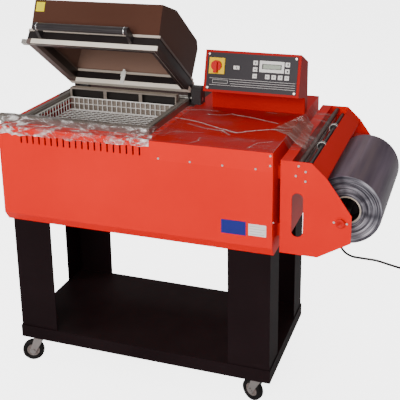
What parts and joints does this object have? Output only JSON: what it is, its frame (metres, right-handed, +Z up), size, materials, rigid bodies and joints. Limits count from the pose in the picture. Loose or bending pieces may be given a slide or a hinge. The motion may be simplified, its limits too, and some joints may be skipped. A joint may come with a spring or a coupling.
{
  "type": "shrink wrapping machine",
  "caption": "L-seal chamber shrink wrapping machine on a wheeled cart, with hinged hood, control console and film roll holder.",
  "frame": {"origin": "on the floor, under the middle of the machine's box measured without the mains cord", "axes": "+X from the chamber to the film roll, +Y from the operator's side to the back, +Z up"},
  "size_m": [1.3885, 1.2763, 1.2448],
  "materials": {
    "black_paint": "satin",
    "black_plastic": "moulded",
    "cord": "matt sheath",
    "core_card": "wound",
    "display": "bezel with a grey-green screen",
    "film": "clear, wound",
    "film_sheet": "clear, creased",
    "handle": "matt grip on a bar",
    "heater": "heat-tinted",
    "hood_plastic": "smoked, tinted",
    "key_plastic": "moulded",
    "knob_red": "moulded",
    "motor": "satin",
    "panel": "printed panel",
    "red_paint": "satin",
    "seal": "matt",
    "steel": "brushed",
    "transformer": "laminated core with a taped winding",
    "tyre": "matt",
    "yellow_plastic": "moulded",
    "zinc": "plated"
  },
  "bodies": {
    "machine": {"base_tray": "black_paint", "legs": "black_paint", "caster_plates": "zinc", "body_shell": "red_paint", "work_table": "red_paint", "fasteners": "zinc", "chamber_tub": "red_paint", "seal_frame": "steel", "seal_pad": "seal", "air_duct": "steel", "fan_motor": "motor", "heater_element": "heater", "transformer": "transformer", "hinge_shaft": "steel", "hinge_blocks": "black_plastic", "console_housing": "red_paint", "control_panel": "panel", "switch_plate": "yellow_plastic", "display": "display", "roll_plate_front": "red_paint", "roll_plate_rear": "red_paint", "holder_back": "red_paint", "guide_sheet": "red_paint", "spindle": "steel", "tie_rods": "steel", "film_web": "film_sheet", "cable_gland": "black_plastic", "mains_cord": "cord", "cord_coil": "cord", "plug": "cord"},
    "hood": {"hood_frame": "black_paint", "hood_gasket": "seal", "hood_shell": "hood_plastic", "hood_handle": "handle", "seal_blade": "steel"},
    "basket": {"basket": "steel"},
    "fan": {"fan_impeller": "steel"},
    "main_switch": {"switch_knob": "knob_red"},
    "rocker": {"rocker": "black_plastic"},
    "film_reel": {"roll_core": "core_card", "film_roll": "film"},
    "guide_roller": {"guide_roller": "steel"},
    "perforator": {"perforator": "black_plastic"},
    "fork_front_left": {"caster_fork_front_left": "zinc"},
    "wheel_front_left": {"caster_wheel_front_left": "tyre"},
    "fork_front_right": {"caster_fork_front_right": "zinc"},
    "wheel_front_right": {"caster_wheel_front_right": "tyre"},
    "fork_rear_left": {"caster_fork_rear_left": "zinc"},
    "wheel_rear_left": {"caster_wheel_rear_left": "tyre"},
    "fork_rear_right": {"caster_fork_rear_right": "zinc"},
    "wheel_rear_right": {"caster_wheel_rear_right": "tyre"},
    "key_left_low": {"key_left_low": "key_plastic"},
    "key_left_middle": {"key_left_middle": "key_plastic"},
    "key_left_top": {"key_left_top": "key_plastic"},
    "key_row_1": {"key_row_1": "key_plastic"},
    "key_row_2": {"key_row_2": "key_plastic"},
    "key_row_3": {"key_row_3": "key_plastic"},
    "key_row_4": {"key_row_4": "key_plastic"},
    "key_right_middle": {"key_right_middle": "key_plastic"},
    "key_right_top": {"key_right_top": "key_plastic"}
  },
  "joints": [
    {"name": "hood_hinge", "type": "hinge", "parent": "machine", "child": "hood", "pos_m": [-0.307, 0.0975, 0.885], "axis": [1, 0, 0], "range_deg": [0, 35.7], "stiffness_Nm_per_rad": 23, "springref_deg": -99.69},
    {"name": "swivel_front_left", "type": "hinge", "parent": "machine", "child": "fork_front_left", "pos_m": [-0.524, -0.269, 0.097], "axis": [0, 0, 1], "continuous": true},
    {"name": "axle_front_left", "type": "hinge", "parent": "fork_front_left", "child": "wheel_front_left", "pos_m": [-0.55031, -0.27858, 0.0375], "axis": [0.342, -0.9397, 0], "continuous": true},
    {"name": "swivel_front_right", "type": "hinge", "parent": "machine", "child": "fork_front_right", "pos_m": [0.265, -0.269, 0.097], "axis": [0, 0, 1], "continuous": true},
    {"name": "axle_front_right", "type": "hinge", "parent": "fork_front_right", "child": "wheel_front_right", "pos_m": [0.23962, -0.25717, 0.0375], "axis": [-0.4226, -0.9063, 0], "continuous": true},
    {"name": "swivel_rear_left", "type": "hinge", "parent": "machine", "child": "fork_rear_left", "pos_m": [-0.524, 0.08, 0.097], "axis": [0, 0, 1], "continuous": true},
    {"name": "axle_rear_left", "type": "hinge", "parent": "fork_rear_left", "child": "wheel_rear_left", "pos_m": [-0.55198, 0.07902, 0.0375], "axis": [0.0349, -0.9994, 0], "continuous": true},
    {"name": "swivel_rear_right", "type": "hinge", "parent": "machine", "child": "fork_rear_right", "pos_m": [0.265, 0.08, 0.097], "axis": [0, 0, 1], "continuous": true},
    {"name": "axle_rear_right", "type": "hinge", "parent": "fork_rear_right", "child": "wheel_rear_right", "pos_m": [0.23735, 0.08438, 0.0375], "axis": [-0.1564, -0.9877, 0], "continuous": true},
    {"name": "basket_lift", "type": "slide", "parent": "machine", "child": "basket", "axis": [0, 0, 1], "range_m": [0, 0.06]},
    {"name": "fan_spin", "type": "hinge", "parent": "machine", "child": "fan", "pos_m": [-0.307, -0.126, 0.752], "axis": [0, 0, 1], "continuous": true},
    {"name": "main_switch_turn", "type": "hinge", "parent": "machine", "child": "main_switch", "pos_m": [0.04203, -0.00634, 1.03186], "axis": [0, -0.9613, 0.2756], "range_deg": [0, 90]},
    {"name": "key_left_low_press", "type": "slide", "parent": "machine", "child": "key_left_low", "axis": [0, 0.9613, -0.2756], "range_m": [0, 0.001], "stiffness_N_per_m": 600, "springref_m": -0.001},
    {"name": "key_left_middle_press", "type": "slide", "parent": "machine", "child": "key_left_middle", "axis": [0, 0.9613, -0.2756], "range_m": [0, 0.001], "stiffness_N_per_m": 600, "springref_m": -0.001},
    {"name": "key_left_top_press", "type": "slide", "parent": "machine", "child": "key_left_top", "axis": [0, 0.9613, -0.2756], "range_m": [0, 0.001], "stiffness_N_per_m": 600, "springref_m": -0.001},
    {"name": "key_row_1_press", "type": "slide", "parent": "machine", "child": "key_row_1", "axis": [0, 0.9613, -0.2756], "range_m": [0, 0.001], "stiffness_N_per_m": 600, "springref_m": -0.001},
    {"name": "key_row_2_press", "type": "slide", "parent": "machine", "child": "key_row_2", "axis": [0, 0.9613, -0.2756], "range_m": [0, 0.001], "stiffness_N_per_m": 600, "springref_m": -0.001},
    {"name": "key_row_3_press", "type": "slide", "parent": "machine", "child": "key_row_3", "axis": [0, 0.9613, -0.2756], "range_m": [0, 0.001], "stiffness_N_per_m": 600, "springref_m": -0.001},
    {"name": "key_row_4_press", "type": "slide", "parent": "machine", "child": "key_row_4", "axis": [0, 0.9613, -0.2756], "range_m": [0, 0.001], "stiffness_N_per_m": 600, "springref_m": -0.001},
    {"name": "key_right_middle_press", "type": "slide", "parent": "machine", "child": "key_right_middle", "axis": [0, 0.9613, -0.2756], "range_m": [0, 0.001], "stiffness_N_per_m": 600, "springref_m": -0.001},
    {"name": "key_right_top_press", "type": "slide", "parent": "machine", "child": "key_right_top", "axis": [0, 0.9613, -0.2756], "range_m": [0, 0.001], "stiffness_N_per_m": 600, "springref_m": -0.001},
    {"name": "rocker_tip", "type": "hinge", "parent": "machine", "child": "rocker", "pos_m": [0.10807, 0.00079, 1.0277], "axis": [0, 0.2756, 0.9613], "range_deg": [0, 12]},
    {"name": "reel_spin", "type": "hinge", "parent": "machine", "child": "film_reel", "pos_m": [0.509, -0.008, 0.674], "axis": [0, 1, 0], "continuous": true},
    {"name": "guide_roller_spin", "type": "hinge", "parent": "machine", "child": "guide_roller", "pos_m": [0.386, -0.011, 0.832], "axis": [0, 1, 0], "continuous": true},
    {"name": "perforator_spin", "type": "hinge", "parent": "machine", "child": "perforator", "pos_m": [0.406, -0.011, 0.817], "axis": [0, 1, 0], "continuous": true}
  ]
}
